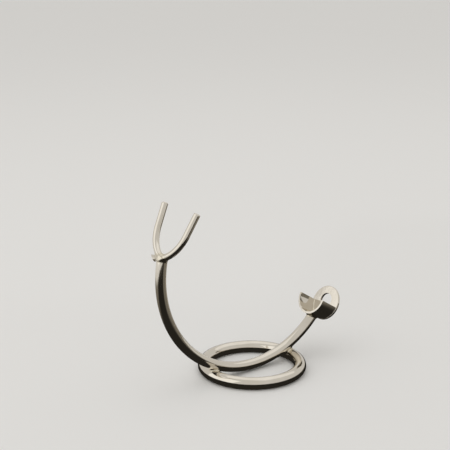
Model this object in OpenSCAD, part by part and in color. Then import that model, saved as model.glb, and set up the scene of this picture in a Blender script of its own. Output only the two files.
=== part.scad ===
// Razor stand: a C-shaped rod brazed across a round base ring. A two-prong wire fork on the
// rod's high end holds the razor's handle, and a half-tube cradle on the low end takes its tail.
// Millimetres, +Z up. The arm lies in the XZ plane, fork towards -X and cradle towards +X.
// The origin is the centre of the stand's footprint box, on the surface that it stands on.

/* [Base ring] */
// Diameter of the ring's round bar
ring_bar_d = 5.6; // [5:0.1:6.4]
// Radius of the ring, to the middle of its bar
ring_r = 22.1; // [19:0.1:26]
// Depth of the flat ground on the underside
ground_depth = 0.2; // [0.1:0.05:0.4]

/* [Arm] */
// Diameter of the bent rod
arm_d = 4.76; // [4.2:0.02:5.2]
// Bend radius of the rod, to its middle
arm_r = 49.5; // [46:0.5:54]
// Angle from straight down to the fork end
arm_fork_angle = 102; // [96:1:108]
// Angle from straight down to the cradle's seat
arm_cradle_angle = 46.8; // [43:0.2:50]
// How deep the rod is filed to sit on the ring
saddle_depth = 0.25; // [0.1:0.05:0.4]
// Distance from the fork's root out to the slant ground on the rod's fork end
end_slant = 1.4; // [1.3:0.05:1.8]

/* [Fork] */
// Diameter of the prong wire
prong_d = 3; // [2.6:0.1:3.4]
// Lean of the fork towards the cradle
fork_lean = 27; // [20:1:34]
// Radius of each prong's bend, to the wire's middle
prong_bend_r = 15.2; // [13:0.2:17]
// Slope of each prong where it crosses the arm
root_slope = 20; // [17:1:24]
// Slope of the prong's straight top
top_slope = 82; // [78:1:88]
// Length of the straight top
top_length = 10.5; // [8:0.5:14]
// Slope of the front prong's cut end, which runs on behind the arm
tail_slope = 12; // [8:1:15]
// Straight length of that cut end
tail_length = 4.4; // [3:0.1:6]
// Slant of its cut, away from square
tail_cut = 50; // [0:1:55]

/* [Cradle] */
// Outer radius of the half-tube trough
trough_r = 8.1; // [7.6:0.1:9]
// Thickness of its sheet
sheet = 0.9; // [0.7:0.1:1.2]
// Length of the trough
trough_length = 9.8; // [8.8:0.2:12]
// Slope of the trough, low end away from the fork
trough_slope = 28; // [22:1:32]
// Share of the trough's length on the fork side of the arm's middle
seat_share = 0.52; // [0.4:0.01:0.55]
// Height of the lips above the trough's middle at its open end
lip_height = 0.3; // [0.1:0.1:1.2]
// Slope of the lips against the trough
lip_slope = 4; // [1:0.5:5]
// Radius of the end disc
disc_r = 8.3; // [8.2:0.1:9.4]
// Thickness of the end disc
disc_thick = 1.2; // [0.8:0.1:1.8]
// Diameter of the hole for the razor's tail
tail_hole_d = 7; // [5:0.2:8]
// Height of that hole above the disc's middle
tail_hole_rise = 1.2; // [0:0.1:2]

/* [Hidden] */
$fn = 240;

ring_bar_r = ring_bar_d / 2;
ring_z = ring_bar_r - ground_depth;
arm_rod_r = arm_d / 2;
prong_r = prong_d / 2;
edge_r = 0.3;
tip_r = 0.6;

// The straight wire is a hair thinner than the bend that it runs into, so their skins don't coincide
skin = 0.01;
lap = 0.1;
overrun = 0.5;
rear_offset = 1;
tail_cut_turn = -34;
seat_reach = 4;

// Braze beads: at the crossings, the fork, the trough's seat and the seam inside the trough
crossing_bead_r = 2.6;
fork_bead_r = 2.7;
fork_bead_drop = 0.8;
seat_bead_r = 3.1;
seam_r = 0.6;
// How far the seam stops short of the lips, in degrees
seam_margin = 1;
metal = [0.80, 0.77, 0.71];
braze = [0.78, 0.74, 0.64];

// Height of the arm's bend centre, from the two rods' middles at the crossing
crossing_gap = arm_r + arm_rod_r + ring_bar_r - saddle_depth;
arm_z = ring_z + sqrt(crossing_gap * crossing_gap - ring_r * ring_r);
crossing_angle = asin(ring_r / crossing_gap);

// Middle of the arm at an angle from straight down, positive towards the cradle
function arm_point(angle) = [arm_r * sin(angle), 0, arm_z - arm_r * cos(angle)];

// Unit vectors along the trough and square to it, pointing down the slope and out of its mouth
trough_along = [cos(trough_slope), 0, -sin(trough_slope)];
trough_up = [sin(trough_slope), 0, cos(trough_slope)];
seat = arm_point(arm_cradle_angle);
trough_start = seat + trough_up * trough_r - trough_along * trough_length * seat_share;
disc_start = trough_start + trough_along * trough_length;

// The box centre in X: the arm's outer side on the left, the disc's outer edge on the right
box_left = -(arm_r + arm_rod_r);
box_right = disc_start[0] + (disc_thick - edge_r) * cos(trough_slope)
    + (disc_r - edge_r) * sin(trough_slope) + edge_r;
origin_shift = -(box_left + box_right) / 2;

// Where each group of pieces stands
module in_frame() translate([origin_shift, 0, 0]) children();
module fork_frame() {
    translate(arm_point(-arm_fork_angle))
        rotate([0, fork_lean, 0])
            rotate([0, 0, -90])
                rotate([90, 0, 0])
                    children();
}
module trough_frame() {
    translate(trough_start) rotate([0, 90 + trough_slope, 0]) children();
}
module crossing_frame(side) {
    translate([side * ring_r, 0, ring_z])
        rotate([0, -side * crossing_angle, 0])
            translate([0, 0, ring_bar_r])
                children();
}

// Round bars and wires, before they are filed to fit each other
module ring_bar() {
    translate([0, 0, ring_z])
        rotate_extrude() translate([ring_r, 0]) circle(r = ring_bar_r);
}

module arm_rod() {
    translate([0, 0, arm_z])
        rotate([90, 0, 0])
            rotate([0, 0, -90 - arm_fork_angle])
                rotate_extrude(angle = arm_fork_angle + arm_cradle_angle + seat_reach)
                    translate([arm_r, 0]) circle(r = arm_rod_r);
}

// What the slant on the arm's fork end takes away, facing out and up at 45 degrees
module end_grind() {
    translate(arm_point(-arm_fork_angle))
        rotate([0, -45, 0])
            translate([-arm_d, -arm_d, end_slant]) cube(2 * arm_d);
}

// One prong in the XY plane, crossing the arm's middle at the origin: a bend that starts at a
// given slope, then the straight top
module prong_wire(start_slope) {
    about_bend_centre() {
        rotate([0, 0, start_slope - 90])
            rotate_extrude(angle = top_slope - start_slope)
                translate([prong_bend_r, 0]) circle(r = prong_r);
        rotate([0, 0, top_slope])
            translate([-lap, -prong_bend_r, 0])
                wire_end(top_length + lap, prong_r - skin);
    }
}
module about_bend_centre() {
    translate([-prong_bend_r * sin(root_slope), prong_bend_r * cos(root_slope), 0]) children();
}

// The front prong's straight cut end, with its slanted cut
module prong_tail() {
    about_bend_centre()
        rotate([0, 0, tail_slope])
            translate([-tail_length, -prong_bend_r, 0]) difference() {
                translate([-prong_d, 0, 0])
                    rotate([0, 90, 0]) cylinder(r = prong_r - skin, h = tail_length + prong_d + lap);
                rotate([tail_cut_turn, 0, 0])
                    rotate([0, 0, tail_cut])
                        translate([-4 * prong_d, -2 * prong_d, -2 * prong_d]) cube(4 * prong_d);
            }
}

// A straight wire along +X, with its far end rounded over
module wire_end(length, r) {
    rotate([0, 90, 0]) rotate_extrude() {
        square([r - tip_r, length]);
        square([r, length - tip_r]);
        translate([r - tip_r, length - tip_r]) circle(r = tip_r);
    }
}
module front_wire() fork_frame() {
    prong_wire(tail_slope);
    prong_tail();
}
module rear_wire() fork_frame() {
    translate([0, 0, rear_offset]) mirror([1, 0, 0]) prong_wire(root_slope);
}

// Solid space inside the trough's outer surface
module trough_space() {
    trough_frame() translate([0, 0, -trough_length]) cylinder(r = trough_r, h = 2 * trough_length);
}

// The pieces
module base_ring() color(metal) in_frame() {
    difference() {
        ring_bar();
        translate([0, 0, -ring_bar_d]) cylinder(r = ring_r + ring_bar_d, h = ring_bar_d);
    }
}

module curved_arm() color(metal) in_frame() {
    difference() {
        arm_rod();
        end_grind();
        ring_bar();
        front_wire();
        rear_wire();
        trough_space();
    }
}

module fork_front_prong() color(metal) in_frame() front_wire();

module fork_rear_prong() color(metal) in_frame() {
    difference() {
        rear_wire();
        front_wire();
    }
}

module cradle_trough() color(metal) in_frame() trough_frame() {
    difference() {
        cylinder(r = trough_r, h = trough_length);
        translate([0, 0, -overrun]) cylinder(r = trough_r - sheet, h = trough_length + 2 * overrun);
        translate([-lip_height, 0, 0])
            rotate([0, lip_slope, 0])
                translate([-3 * trough_r, -2 * trough_r, -trough_r])
                    cube([3 * trough_r, 4 * trough_r, trough_length + 2 * trough_r]);
    }
}

module cradle_end_disc() color(metal) in_frame() trough_frame() {
    translate([0, 0, trough_length]) difference() {
        rotate_extrude() {
            square([disc_r - edge_r, disc_thick]);
            translate([0, edge_r]) square([disc_r, disc_thick - 2 * edge_r]);
            translate([disc_r - edge_r, edge_r]) circle(r = edge_r);
            translate([disc_r - edge_r, disc_thick - edge_r]) circle(r = edge_r);
        }
        translate([-tail_hole_rise, 0, -overrun])
            cylinder(d = tail_hole_d, h = disc_thick + 2 * overrun);
    }
}

module ring_braze(side) color(braze) in_frame() {
    difference() {
        crossing_frame(side) sphere(r = crossing_bead_r);
        ring_bar();
        arm_rod();
    }
}

module fork_braze() color(braze) in_frame() {
    difference() {
        translate(arm_point(-arm_fork_angle) - [0, 0, fork_bead_drop]) sphere(r = fork_bead_r);
        arm_rod();
        end_grind();
        front_wire();
        rear_wire();
    }
}

module cradle_braze() color(braze) in_frame() {
    difference() {
        translate(seat) sphere(r = seat_bead_r);
        arm_rod();
        trough_space();
    }
}

module cradle_seam_braze() color(braze) in_frame() trough_frame() {
    inner_r = trough_r - sheet;
    lip_drop = trough_length * tan(lip_slope) - lip_height;
    stop = seam_margin + max(0, asin(lip_drop / inner_r));
    rotate([0, 0, stop - 90]) rotate_extrude(angle = 180 - 2 * stop) difference() {
        translate([inner_r - seam_r, trough_length - seam_r]) square(seam_r);
        translate([inner_r - seam_r, trough_length - seam_r]) circle(r = seam_r);
    }
}

base_ring();
curved_arm();
fork_front_prong();
fork_rear_prong();
cradle_trough();
cradle_end_disc();
ring_braze(-1);  // ring_braze_front
ring_braze(1);  // ring_braze_rear
fork_braze();
cradle_braze();
cradle_seam_braze();
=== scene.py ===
"""Razor stand: a bent rod brazed across a base ring, with a wire fork and a half-tube cradle.

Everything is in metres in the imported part's own frame. The rods, wires, trough, disc and the seam
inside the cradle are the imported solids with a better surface. The other four brazes are rebuilt
here as smooth concave fillets.
"""

import math

import bpy
import numpy as np
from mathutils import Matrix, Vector


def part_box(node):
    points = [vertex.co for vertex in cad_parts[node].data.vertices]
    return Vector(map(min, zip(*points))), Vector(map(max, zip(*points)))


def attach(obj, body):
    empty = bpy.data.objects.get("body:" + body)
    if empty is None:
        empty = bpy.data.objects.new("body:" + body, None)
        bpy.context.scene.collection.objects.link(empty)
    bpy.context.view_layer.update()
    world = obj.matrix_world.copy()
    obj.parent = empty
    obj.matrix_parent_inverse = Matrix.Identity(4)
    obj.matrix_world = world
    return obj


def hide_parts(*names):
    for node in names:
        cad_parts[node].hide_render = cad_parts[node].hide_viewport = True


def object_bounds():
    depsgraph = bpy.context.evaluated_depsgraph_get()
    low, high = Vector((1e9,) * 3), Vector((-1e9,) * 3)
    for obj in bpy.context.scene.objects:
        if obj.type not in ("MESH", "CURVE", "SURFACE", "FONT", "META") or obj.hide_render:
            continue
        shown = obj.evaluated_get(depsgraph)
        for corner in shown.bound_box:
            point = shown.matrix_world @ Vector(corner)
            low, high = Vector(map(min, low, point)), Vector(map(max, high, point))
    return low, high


MM = 0.001

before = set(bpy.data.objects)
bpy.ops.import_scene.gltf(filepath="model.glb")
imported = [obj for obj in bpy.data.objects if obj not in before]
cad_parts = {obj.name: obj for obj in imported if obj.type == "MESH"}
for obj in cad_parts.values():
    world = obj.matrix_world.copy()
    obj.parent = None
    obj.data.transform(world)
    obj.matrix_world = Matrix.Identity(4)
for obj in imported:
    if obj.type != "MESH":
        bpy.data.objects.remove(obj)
cad_lo, cad_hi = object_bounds()


def add_object(name, data):
    made = bpy.data.objects.new(name, data)
    bpy.context.scene.collection.objects.link(made)
    return made


# ---------------------------------------------------------------- materials

# How many noise cells there are in a metre, for each kind of unevenness in the plate
DRIFT_SCALE, HAZE_SCALE, RIPPLE_SCALE = 90.0, 420.0, 260.0
RIPPLE_HEIGHT = 0.05 * MM
# Nearly all of a noise texture lies between these values
NOISE_LOW, NOISE_HIGH = 0.3, 0.7
# A Mix node's colour sockets share their names with its number sockets, so they go by index
MIX_A, MIX_B, MIX_RESULT = 6, 7, 2


class NodeTree:
    """A material's node tree, with a short way to add and wire nodes."""

    def __init__(self, name):
        self.material = bpy.data.materials.new(name)
        self.material.use_nodes = True
        self.tree = self.material.node_tree
        self.shader = self.tree.nodes["Principled BSDF"]

    def add(self, kind, **settings):
        node = self.tree.nodes.new(kind)
        for key, value in settings.items():
            if key in node.inputs:
                node.inputs[key].default_value = value
            else:
                setattr(node, key, value)
        return node

    def wire(self, output, target):
        self.tree.links.new(output, target)


def noise(kit, coords, scale, detail, rough=0.55):
    node = kit.add("ShaderNodeTexNoise", Scale=scale, Detail=detail, Roughness=rough)
    kit.wire(coords, node.inputs["Vector"])
    return node.outputs["Fac"]


def remap(kit, value, low, high):
    """Stretches a noise to the range from low to high."""
    node = kit.add("ShaderNodeMapRange")
    node.inputs["From Min"].default_value = NOISE_LOW
    node.inputs["From Max"].default_value = NOISE_HIGH
    node.inputs["To Min"].default_value = low
    node.inputs["To Max"].default_value = high
    kit.wire(value, node.inputs["Value"])
    return node.outputs["Result"]


def plated_metal(name, tint, shade, smoothest, roughest, ripple):
    """Mirror-polished plate: a warm tint that drifts a little, hand-polish haze and faint ripple."""
    kit = NodeTree(name)
    coords = kit.add("ShaderNodeTexCoord").outputs["Object"]
    colour = kit.add("ShaderNodeMix", data_type="RGBA")
    colour.inputs[MIX_A].default_value = (*tint, 1.0)
    colour.inputs[MIX_B].default_value = (*shade, 1.0)
    drift = noise(kit, coords, DRIFT_SCALE, detail=3.0)
    kit.wire(remap(kit, drift, 0.0, 1.0), colour.inputs["Factor"])
    kit.wire(colour.outputs[MIX_RESULT], kit.shader.inputs["Base Color"])
    haze = noise(kit, coords, HAZE_SCALE, detail=6.0, rough=0.65)
    kit.wire(remap(kit, haze, smoothest, roughest), kit.shader.inputs["Roughness"])
    bump = kit.add("ShaderNodeBump")
    bump.inputs["Strength"].default_value = ripple
    bump.inputs["Distance"].default_value = RIPPLE_HEIGHT
    kit.wire(noise(kit, coords, RIPPLE_SCALE, detail=3.0), bump.inputs["Height"])
    kit.wire(bump.outputs["Normal"], kit.shader.inputs["Normal"])
    kit.shader.inputs["Metallic"].default_value = 1.0
    return kit.material


nickel = plated_metal("nickel_plate", tint=(0.80, 0.757, 0.68), shade=(0.73, 0.685, 0.60),
                      smoothest=0.05, roughest=0.11, ripple=0.45)
braze = plated_metal("plated_braze", tint=(0.78, 0.73, 0.62), shade=(0.66, 0.60, 0.48),
                     smoothest=0.10, roughest=0.20, ripple=0.60)

for name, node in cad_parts.items():
    for material_slot in node.material_slots:
        material_slot.material = braze if "braze" in name else nickel


# ---------------------------------------------------------------- distances

# The braze fillets are surfaces of distance fields: functions of many points, in mm, that give how
# far each point is outside a shape, and less than zero inside it.

X_AXIS = np.array((1.0, 0.0, 0.0))
Y_AXIS = np.array((0.0, 1.0, 0.0))
Z_AXIS = np.array((0.0, 0.0, 1.0))


def in_mm(corner):
    return np.array(corner) / MM


def turned(angle, from_axis, to_axis):
    a = math.radians(angle)
    return from_axis * math.cos(a) + to_axis * math.sin(a)


def bent_bar(centre, across, up, bend_r, bar_r, first=-180, last=180):
    """Distance from a round bar bent about centre, from one angle to another: across towards up."""
    middle_angle, half = math.radians(first + last) / 2, math.radians(last - first) / 2

    def distance(points):
        away = points - centre
        angle = np.arctan2(away @ up, away @ across) - middle_angle
        angle = np.clip((angle + np.pi) % (2 * np.pi) - np.pi, -half, half) + middle_angle
        nearest = bend_r * (np.cos(angle)[:, None] * across + np.sin(angle)[:, None] * up)
        return np.linalg.norm(away - nearest, axis=1) - bar_r
    return distance


def straight_bar(start, end, bar_r):
    """Distance from a straight round bar with round ends."""
    def distance(points):
        along = end - start
        share = np.clip((points - start) @ along / (along @ along), 0, 1)
        return np.linalg.norm(points - start - share[:, None] * along, axis=1) - bar_r
    return distance


def both(first, second):
    return lambda points: np.minimum(first(points), second(points))


def cut(bar, place, facing):
    """A bar without what lies beyond a plane through place."""
    return lambda points: np.maximum(bar(points), (points - place) @ facing)


def smooth_step(share):
    share = np.clip(share, 0, 1)
    return share * share * (3 - 2 * share)


def melted(a, b, blend):
    """The smaller distance, rounded off where the two are close: this is the fillet's surface."""
    near = np.maximum(blend - np.abs(a - b), 0) / blend
    return np.minimum(a, b) - near * near * blend / 4


def slope_of(field, points, step=0.01):
    """Unit gradient of a distance field."""
    sides = [field(points + step * axis) - field(points - step * axis) for axis in np.eye(3)]
    slope = np.stack(sides, axis=1)
    return slope / np.maximum(np.linalg.norm(slope, axis=1, keepdims=True), 1e-9)


# ---------------------------------------------------------------- surfaces of distance fields

def blurred(values):
    for axis in range(3):
        values = (np.roll(values, 1, axis) + 2 * values + np.roll(values, -1, axis)) / 4
    return values


def without_pinches(values, barely_inside=-1e-4):
    """Grid values with no cell face whose inside corners meet only across its diagonal.

    Such a face would pinch the surface to an edge with four faces, so its other corners are filled.
    """
    inside = values < 0
    filled = True
    while filled:
        before = inside.sum()
        for axis in range(3):
            layers = np.moveaxis(inside, axis, 0)
            face = [layers[:, :-1, :-1], layers[:, 1:, :-1], layers[:, 1:, 1:], layers[:, :-1, 1:]]
            pinched = (face[0] == face[2]) & (face[1] == face[3]) & (face[0] != face[1])
            for corner in face:
                corner |= pinched
        filled = inside.sum() > before
    return np.where(inside & (values >= 0), barely_inside, values)


def net_points(grid, values):
    """Where each crossed cell's vertex is, and every cell's vertex number: -1 where it has none.

    The vertex is the mean of the places where the surface crosses the cell's edges.
    """
    cells = tuple(n - 1 for n in values.shape)
    corners = [(i, j, k) for i in (0, 1) for j in (0, 1) for k in (0, 1)]

    def at(corner):
        return tuple(slice(c, c + n) for c, n in zip(corner, cells))

    total = np.zeros(cells + (3,))
    count = np.zeros(cells)
    for a in corners:
        for b in corners:
            if sum(b) != sum(a) + 1 or sum(abs(m - n) for m, n in zip(a, b)) != 1:
                continue
            va, vb = values[at(a)], values[at(b)]
            crossed = (va < 0) != (vb < 0)
            share = np.where(crossed, va / np.where(crossed, va - vb, 1), 0)[..., None]
            spot = grid[at(a)] * (1 - share) + grid[at(b)] * share
            total += np.where(crossed[..., None], spot, 0)
            count += crossed
    used = count > 0
    number = np.full(cells, -1)
    number[used] = np.arange(used.sum())
    return total[used] / count[used][:, None], number


def net_faces(values, number):
    """A quad around each grid edge that the surface crosses, between its four cells' vertices."""
    faces = []
    for axis in range(3):
        order = [axis, (axis + 1) % 3, (axis + 2) % 3]
        inside = values.transpose(order) < 0
        cell = number.transpose(order)
        start, end = inside[:-1, 1:-1, 1:-1], inside[1:, 1:-1, 1:-1]
        around = [cell[:, :-1, :-1], cell[:, 1:, :-1], cell[:, 1:, 1:], cell[:, :-1, 1:]]
        around = np.stack(around, axis=-1)
        faces.append(around[start & ~end])
        faces.append(around[end & ~start][:, ::-1])
    return np.concatenate(faces)


def largest_part(points, faces):
    """The biggest connected part of a mesh, without the crumbs around it."""
    label = np.arange(len(points))
    while True:
        merged = label.copy()
        np.minimum.at(merged, faces, label[faces].min(axis=1, keepdims=True))
        merged = merged[merged]
        if (merged == label).all():
            break
        label = merged
    names, sizes = np.unique(label, return_counts=True)
    kept = label == names[sizes.argmax()]
    new_number = np.cumsum(kept) - 1
    return points[kept], new_number[faces[kept[faces[:, 0]]]]


def surface_net(field, centre, reach, step):
    """Surface of a distance field in a cube: a vertex in each crossed cell, quads between them."""
    ticks = [np.arange(c - reach, c + reach + step, step) for c in centre]
    grid = np.stack(np.meshgrid(*ticks, indexing="ij"), axis=-1)
    values = field(grid.reshape(-1, 3)).reshape(grid.shape[:3])
    values = without_pinches(blurred(values))
    points, number = net_points(grid, values)
    return largest_part(points, net_faces(values, number))


# ---------------------------------------------------------------- braze fillets

# All in mm: the surface's grid, how deep a fillet reaches into its bars, and how far its edges lie
# under their skins
GRID_STEP = 0.12
BURIED = 0.35
SINK = 0.02


def fillet(name, bars, centre, reach, blend):
    """The braze between bars, within reach of centre; blend is how wide its rounding is."""
    def skin(points):
        return np.min([bar(points) for bar in bars], axis=0)

    def visible(points):
        distance = bars[0](points)
        for bar in bars[1:]:
            distance = melted(distance, bar(points), blend)
        return distance + SINK

    def body(points):
        bare, filled = skin(points), visible(points)
        # The braze's depth grows with the square of the way in from its edge, so its root is even
        depth = np.maximum(bare - filled + SINK, 0)
        edge = 2 * math.sqrt(blend) * (math.sqrt(SINK / 2) - np.sqrt(depth))
        return np.maximum(filled, np.maximum(-bare - BURIED, edge))

    points, faces = surface_net(body, centre, reach, GRID_STEP)
    shown = np.abs(visible(points)) < GRID_STEP / 2
    newton_steps = 3
    for _ in range(newton_steps):
        spots = points[shown]
        points[shown] = spots - visible(spots)[:, None] * slope_of(visible, spots)
    # Towards its edge the braze takes on the bars' own normals, so that no line shows there
    normals = slope_of(body, points)
    spots = points[shown]
    above_skin = (skin(spots) - visible(spots))[:, None]
    share = smooth_step(above_skin / (6 * SINK))
    normals[shown] = slope_of(skin, spots) * (1 - share) + slope_of(visible, spots) * share
    mesh = bpy.data.meshes.new(name)
    mesh.from_pydata((points * MM).tolist(), [], faces.tolist())
    mesh.materials.append(braze)
    mesh.polygons.foreach_set("use_smooth", [True] * len(mesh.polygons))
    mesh.normals_split_custom_set_from_vertices(normals.tolist())
    piece = add_object(name, mesh)
    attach(piece, "root")
    return piece


# Sizes of the design, in mm and degrees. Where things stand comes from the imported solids.
# Radii of the ring's bar, the arm's rod and the fork's wire
BAR_R = 2.8
ROD_R = 2.38
WIRE_R = 1.5
# How far round the arm the fork's root and the cradle's seat are, from its lowest point
ARM_FORK_ANGLE = 102
ARM_CRADLE_ANGLE = 46.8
# How far out from the arm's middle line its fork end is ground to a slant, and the slant's angle
END_SLANT = 1.4
SLANT_ANGLE = 45
# The fork's lean, a prong's bend, the angles along it, and the straight tail of the front prong
FORK_LEAN = 27
PRONG_BEND_R = 15.2
PRONG_ROOT = 20
PRONG_TAIL = 12
PRONG_TOP = 82
TAIL_LENGTH = 4.4
# How far behind the front prong the rear prong crosses it
REAR_OFFSET = 1.0
# The trough's outer radius and slope, and a length that runs past its fillet each way
TROUGH_R = 8.1
TROUGH_SLOPE = 28
TROUGH_HALF_LENGTH = 9

ring_low, ring_high = (in_mm(corner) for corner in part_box("base_ring"))
arm_low = in_mm(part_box("curved_arm")[0])
ring_middle = np.array(((ring_low[0] + ring_high[0]) / 2, 0, ring_high[2] - BAR_R))
ring_bend = (ring_high[1] - ring_low[1]) / 2 - BAR_R
arm_bend = ring_middle[0] - arm_low[0] - ROD_R
arm_middle = np.array((ring_middle[0], 0, arm_low[2] + ROD_R + arm_bend))


def arm_point(angle):
    return arm_middle + arm_bend * turned(angle, -Z_AXIS, X_AXIS)


ring = bent_bar(ring_middle, X_AXIS, Y_AXIS, ring_bend, BAR_R)
arm = bent_bar(arm_middle, -Z_AXIS, X_AXIS, arm_bend, ROD_R)

# The crossing towards the fork is the front one
for side, word in ((-1, "front"), (1, "rear")):
    crossing = ring_middle + side * ring_bend * X_AXIS + BAR_R * Z_AXIS
    piece = fillet("crossing_fillet_" + word, [ring, arm], crossing, reach=4.2, blend=1.7)
    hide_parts("ring_braze_" + word)

# The prongs cross at the arm's end. Each lies in the fork's leaning plane, front prong towards -Y
fork_root = arm_point(-ARM_FORK_ANGLE)
arm_end = cut(arm, fork_root, -turned(-ARM_FORK_ANGLE, X_AXIS, Z_AXIS))
outwards_up = turned(SLANT_ANGLE, -X_AXIS, Z_AXIS)
arm_end = cut(arm_end, fork_root + END_SLANT * outwards_up, outwards_up)
fork_up = turned(FORK_LEAN, Z_AXIS, X_AXIS)
fork_back = turned(FORK_LEAN, -X_AXIS, Z_AXIS)


def prong(outwards, root, first):
    centre = root + PRONG_BEND_R * turned(PRONG_ROOT, fork_up, -outwards)
    return centre, bent_bar(centre, -fork_up, outwards, PRONG_BEND_R, WIRE_R, first, PRONG_TOP)


front_centre, front_bend = prong(-Y_AXIS, fork_root, PRONG_TAIL)
tail_start = front_centre + PRONG_BEND_R * turned(PRONG_TAIL, -fork_up, -Y_AXIS)
tail_end = tail_start - TAIL_LENGTH * turned(PRONG_TAIL, -Y_AXIS, fork_up)
front_prong = both(front_bend, straight_bar(tail_start, tail_end, WIRE_R))
rear_prong = prong(Y_AXIS, fork_root + REAR_OFFSET * fork_back, PRONG_ROOT)[1]
fork_bars = [arm_end, front_prong, rear_prong]
piece = fillet("fork_fillet", fork_bars, fork_root, reach=5.6, blend=1.5)
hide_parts("fork_braze")

# The trough's axis is one trough radius above the arm's seat, square to the trough
seat = arm_point(ARM_CRADLE_ANGLE)
trough_middle = seat + TROUGH_R * turned(TROUGH_SLOPE, Z_AXIS, X_AXIS)
trough_half = TROUGH_HALF_LENGTH * turned(TROUGH_SLOPE, X_AXIS, -Z_AXIS)
trough = straight_bar(trough_middle - trough_half, trough_middle + trough_half, TROUGH_R)
piece = fillet("cradle_fillet", [arm, trough], seat, reach=4.6, blend=1.6)
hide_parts("cradle_braze")


# ---------------------------------------------------------------- studio

CAMERA_AZIMUTH, CAMERA_ELEVATION = -36.78, 15.63
PALE = (0.80, 0.80, 0.79)
FLOOR_WIDTH = 12.0
SOFTBOX_DISTANCE = 0.80

ring_centre = Vector((ring_middle[0] * MM, 0, 0))
stand_middle = (cad_lo + cad_hi) / 2


def direction(azimuth, elevation):
    """Unit vector towards a viewer at that azimuth and elevation: azimuth 0 stands at -Y."""
    a, e = math.radians(azimuth), math.radians(elevation)
    return Vector((math.sin(a) * math.cos(e), -math.cos(a) * math.cos(e), math.sin(e)))


def pale_floor():
    kit = NodeTree("pale_floor")
    kit.shader.inputs["Base Color"].default_value = (*PALE, 1.0)
    kit.shader.inputs["Roughness"].default_value = 0.9
    kit.shader.inputs["Specular IOR Level"].default_value = 0.2
    mesh = bpy.data.meshes.new("floor")
    w = FLOOR_WIDTH / 2
    mesh.from_pydata([(-w, -w, 0), (w, -w, 0), (w, w, 0), (-w, w, 0)], [], [(0, 1, 2, 3)])
    mesh.materials.append(kit.material)
    floor = add_object("floor", mesh)


# The glowing sheet that paints a table's reflection into the bars, in mm from the ring's centre: x
# runs right as the camera sees it, and y runs towards the camera. Each border has a place and a soft
# width.
SHEET_HALF, SHEET_CELL = 480, 10
SHEET_LIFT = 0.1 * MM
# The warm colour of the sheet's glow, which is a painted reflection
SHEET_TINT = (1.0, 0.91, 0.76, 1.0)
SHEET_RADIUS, RADIUS_SOFT = 440, 60
SHEET_LEFT, LEFT_SOFT = -195, 100
# The far border steps back on the right
SHEET_BACK, BACK_SOFT = -90, 60
BACK_STEP, STEP_AT, STEP_SOFT = 170, 40, 90
# The dark part is a wedge that opens towards the camera, with so much spread on each side
WEDGE_LEFT, LEFT_SPREAD, WEDGE_LEFT_SOFT = -75, 0.68, 50
WEDGE_RIGHT, RIGHT_SPREAD, WEDGE_RIGHT_SOFT = -45, 1.1, 60
WEDGE_FROM, WEDGE_FROM_SOFT = 80, 45
HALF_DARK_AT, HALF_DARK_SOFT = 300, 240
# Glow strengths of the painted reflection: dark, half dark and grey
DARK, HALF_DARK, GREY = 0.022, 0.08, 0.19


def rise(distance, width):
    """0 well before an edge and 1 well past it, over a soft width."""
    return smooth_step(distance / width + 0.5)


def sheet_cover(x, y):
    """How much of the floor the sheet hides: 1 on the sheet, 0 past its borders."""
    back = SHEET_BACK - BACK_STEP * rise(x - STEP_AT, STEP_SOFT)
    radius = np.hypot(x, y)
    return (rise(x - SHEET_LEFT, LEFT_SOFT) * rise(y - back, BACK_SOFT)
            * rise(SHEET_RADIUS - radius, RADIUS_SOFT))


def sheet_shade(x, y):
    """How brightly the sheet's painted reflection glows: dark in the wedge, half dark far out in it,
    grey on both sides.
    """
    radius = np.hypot(x, y)
    spread = np.maximum(y, 0)
    left = rise(WEDGE_LEFT - LEFT_SPREAD * spread - x, WEDGE_LEFT_SOFT)
    right = rise(x - WEDGE_RIGHT - RIGHT_SPREAD * spread, WEDGE_RIGHT_SOFT)
    right = right * rise(radius - WEDGE_FROM, WEDGE_FROM_SOFT)
    wedge = DARK + (HALF_DARK - DARK) * rise(radius - HALF_DARK_AT, HALF_DARK_SOFT)
    return wedge + (GREY - wedge) * np.maximum(left, right)


def sheet_material():
    kit = NodeTree("painted_table_reflection_glow")
    # The sheet's emission is its painted reflection: it glows though it is no lamp
    glow = kit.add("ShaderNodeEmission", Color=SHEET_TINT)
    shade = kit.add("ShaderNodeAttribute", attribute_name="shade")
    kit.wire(shade.outputs["Fac"], glow.inputs["Strength"])
    # The mix shows its first shader where cover is 0 and its second where cover is 1
    mix = kit.add("ShaderNodeMixShader")
    cover = kit.add("ShaderNodeAttribute", attribute_name="cover")
    kit.wire(cover.outputs["Fac"], mix.inputs["Fac"])
    kit.wire(kit.add("ShaderNodeBsdfTransparent").outputs[0], mix.inputs[1])
    kit.wire(glow.outputs[0], mix.inputs[2])
    kit.wire(mix.outputs[0], kit.tree.nodes["Material Output"].inputs["Surface"])
    return kit.material


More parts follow.
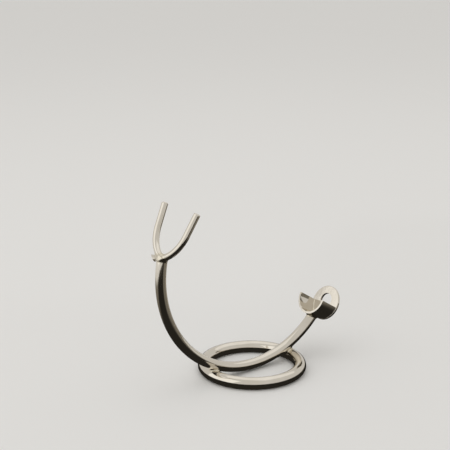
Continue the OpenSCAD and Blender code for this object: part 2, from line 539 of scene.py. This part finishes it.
def painted_table_reflection():
    """A dark sheet on the floor, soft at its edges, that only reflections see.

    Bars this polished look flat on a pale floor, so the sheet glows with a painted reflection of a
    dark table
    instead: dark close to the stand and towards the camera, a warm grey farther out on both sides.
    """
    ahead = direction(CAMERA_AZIMUTH, 0)
    right = Vector((-ahead.y, ahead.x, 0))
    ticks = np.arange(-SHEET_HALF, SHEET_HALF + 1, SHEET_CELL)
    x, y = (across.ravel() for across in np.meshgrid(ticks, ticks, indexing="ij"))
    row = len(ticks)
    corner = np.arange(row * row).reshape(row, row)[:-1, :-1].ravel()
    faces = np.stack([corner, corner + row, corner + row + 1, corner + 1], axis=1)
    places = [ring_centre + (right * float(a) + ahead * float(b)) * MM for a, b in zip(x, y)]
    mesh = bpy.data.meshes.new("painted_table_reflection")
    mesh.from_pydata(places, [], faces.tolist())
    for name, values in (("cover", sheet_cover(x, y)), ("shade", sheet_shade(x, y))):
        mesh.attributes.new(name, "FLOAT", "POINT").data.foreach_set("value", values)
    mesh.materials.append(sheet_material())
    sheet = add_object("painted_table_reflection", mesh)
    sheet.location.z = SHEET_LIFT
    for ray in ("camera", "diffuse", "transmission", "volume_scatter", "shadow"):
        setattr(sheet, "visible_" + ray, False)


def softbox(name, width, height, azimuth, elevation, radiance):
    """A soft area light that faces the stand, with its power set by how much it brightens a mirror.

    The studio's walls show through it, so it adds to them.
    """
    data = bpy.data.lights.new(name, "AREA")
    data.shape = "RECTANGLE"
    data.size, data.size_y = width, height
    data.energy = radiance * math.pi * width * height
    lamp = add_object(name, data)
    towards = direction(azimuth, elevation)
    lamp.location = stand_middle + towards * SOFTBOX_DISTANCE
    lamp.rotation_euler = towards.to_track_quat("Z", "Y").to_euler()


def pale_walls():
    world = bpy.data.worlds.new("studio")
    bpy.context.scene.world = world
    world.use_nodes = True
    background = world.node_tree.nodes["Background"]
    background.inputs["Color"].default_value = (1.0, 0.975, 0.94, 1)
    background.inputs["Strength"].default_value = 0.66


def fill_light():
    """An even, very soft light on the whole floor, out of the reflections."""
    data = bpy.data.lights.new("fill", "SUN")
    data.energy = 0.40
    data.angle = math.radians(70)
    fill = add_object("fill", data)
    towards = direction(CAMERA_AZIMUTH - 30, 75)
    fill.rotation_euler = towards.to_track_quat("Z", "Y").to_euler()
    fill.visible_glossy = False


pale_floor()
painted_table_reflection()
pale_walls()
softbox("window", width=1.0, height=0.9, azimuth=CAMERA_AZIMUTH - 70, elevation=24, radiance=0.40)
softbox("overhead", width=0.9, height=0.9, azimuth=CAMERA_AZIMUTH + 150, elevation=68, radiance=0.26)
fill_light()


# ---------------------------------------------------------------- camera

CAMERA_DISTANCE = 500 * MM
AIM_FROM_RING = Vector((-15.49, 0, 71.66)) * MM
LENS_MM = 91.74

back = direction(CAMERA_AZIMUTH, CAMERA_ELEVATION)
camera_data = bpy.data.cameras.new("camera")
camera_data.lens = LENS_MM
camera_data.sensor_width = 36.0
camera_data.clip_start = 0.01
camera = add_object("camera", camera_data)
camera.location = ring_centre + AIM_FROM_RING + back * CAMERA_DISTANCE
camera.rotation_euler = back.to_track_quat("Z", "Y").to_euler()
bpy.context.scene.camera = camera
bpy.context.scene.view_settings.view_transform = "Standard"
